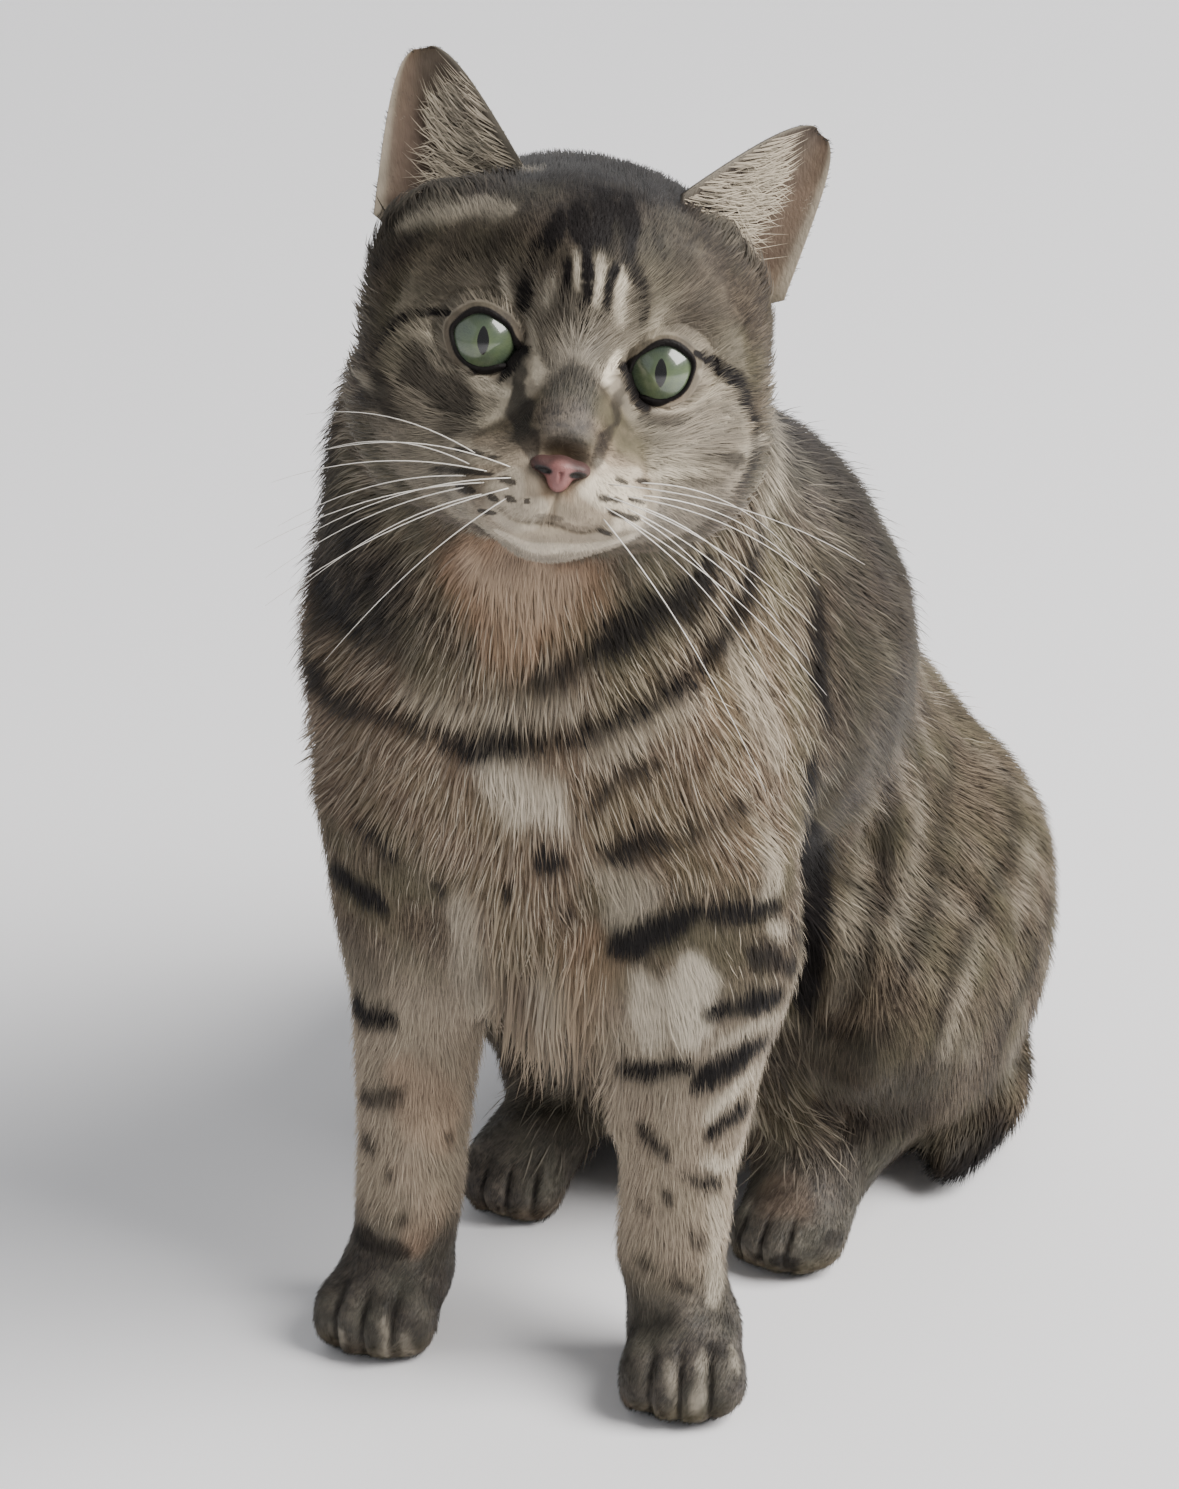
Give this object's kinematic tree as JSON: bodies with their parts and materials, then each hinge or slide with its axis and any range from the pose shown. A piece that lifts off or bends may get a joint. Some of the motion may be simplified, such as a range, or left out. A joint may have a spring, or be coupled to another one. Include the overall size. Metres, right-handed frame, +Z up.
{
  "type": "seated cat model",
  "caption": "Seated tabby cat, a still life-size model: upright on straight forelegs, head turned and tilted towards its left, ears up, tail laid round the left haunch.",
  "frame": {"origin": "middle of the overall box in plan, on the floor the cat sits on", "axes": "+Z up; the chest faces -Y and the cat's left side is +X"},
  "size_m": [0.1694, 0.3288, 0.3399],
  "materials": {
    "coat": "short dense fur, grey-brown with dark stripes",
    "iris": "clear wet gloss over pale green",
    "nose_leather": "dull pink-brown skin"
  },
  "bodies": {
    "root": {"head": "coat", "nose": "nose_leather", "eye_right": "iris", "ear_right": "coat", "eye_left": "iris", "ear_left": "coat", "neck": "coat", "chest": "coat", "rump": "coat", "foreleg_right": "coat", "forepaw_right": "coat", "thigh_right": "coat", "hind_foot_right": "coat", "foreleg_left": "coat", "forepaw_left": "coat", "thigh_left": "coat", "hind_foot_left": "coat", "tail_root": "coat", "tail_middle": "coat", "tail_tip": "coat"}
  },
  "joints": []
}
